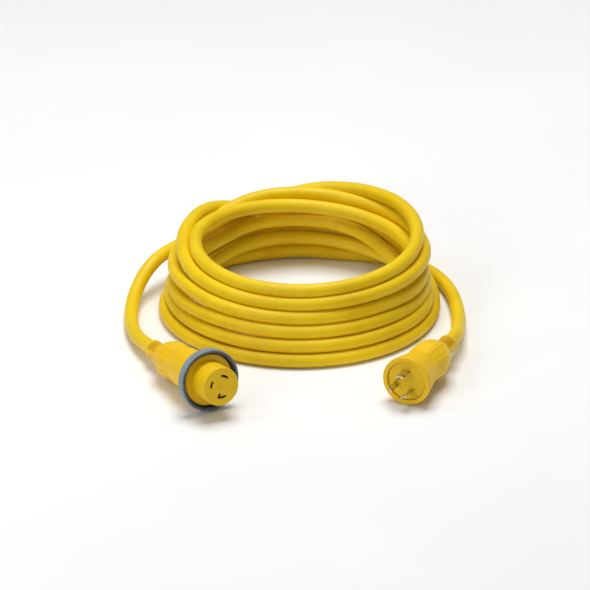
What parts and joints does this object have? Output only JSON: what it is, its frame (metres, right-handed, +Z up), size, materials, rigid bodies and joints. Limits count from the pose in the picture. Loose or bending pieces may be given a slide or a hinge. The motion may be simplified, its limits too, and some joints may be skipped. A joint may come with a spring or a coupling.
{
  "type": "shore power cord",
  "caption": "Yellow shore power cord in a loose coil, with a curved-blade locking plug and a female connector that has a threaded sealing ring.",
  "frame": {"origin": "centre of the coil's bottom turn, on the surface that the coil lies on", "axes": "+Z up; both free ends lie on the -Y side, the connector at -X and the plug at +X"},
  "size_m": [0.4268, 0.5165, 0.11],
  "materials": {
    "cord_jacket": "satin",
    "yellow_grip": "satin",
    "yellow_face": "satin",
    "grey_ring": "satin",
    "washer": "matte",
    "gasket": "matte",
    "plated_blade": "polished",
    "brass_contact": "satin",
    "wire_line": "matte",
    "wire_neutral": "matte",
    "wire_ground": "matte"
  },
  "bodies": {
    "cord_and_ends": {"cord_coil": "cord_jacket", "cord_lead_connector": "cord_jacket", "cord_lead_plug": "cord_jacket", "connector_grip": "yellow_grip", "connector_nose": "yellow_face", "connector_strain_relief": "yellow_grip", "sealing_gasket": "gasket", "plug_grip": "yellow_grip", "plug_face_insert": "yellow_face", "plug_strain_relief": "yellow_grip", "connector_contact_line": "brass_contact", "connector_wire_line": "wire_line", "plug_blade_line": "plated_blade", "plug_wire_line": "wire_line", "connector_contact_neutral": "brass_contact", "connector_wire_neutral": "wire_neutral", "plug_blade_neutral": "plated_blade", "plug_wire_neutral": "wire_neutral", "connector_contact_ground": "brass_contact", "connector_wire_ground": "wire_ground", "plug_blade_ground": "plated_blade", "plug_wire_ground": "wire_ground"},
    "slip_washer": {"ring_slip_washer": "washer"},
    "ring": {"sealing_ring": "grey_ring"}
  },
  "joints": [
    {"name": "ring_slide", "type": "slide", "parent": "cord_and_ends", "child": "slip_washer", "axis": [-0.4807, 0.8671, -0.1305], "range_m": [0, 0.008]},
    {"name": "ring_spin", "type": "hinge", "parent": "slip_washer", "child": "ring", "pos_m": [-0.1078, -0.2838, 0.0396], "axis": [0.4807, -0.8671, 0.1305], "continuous": true}
  ]
}
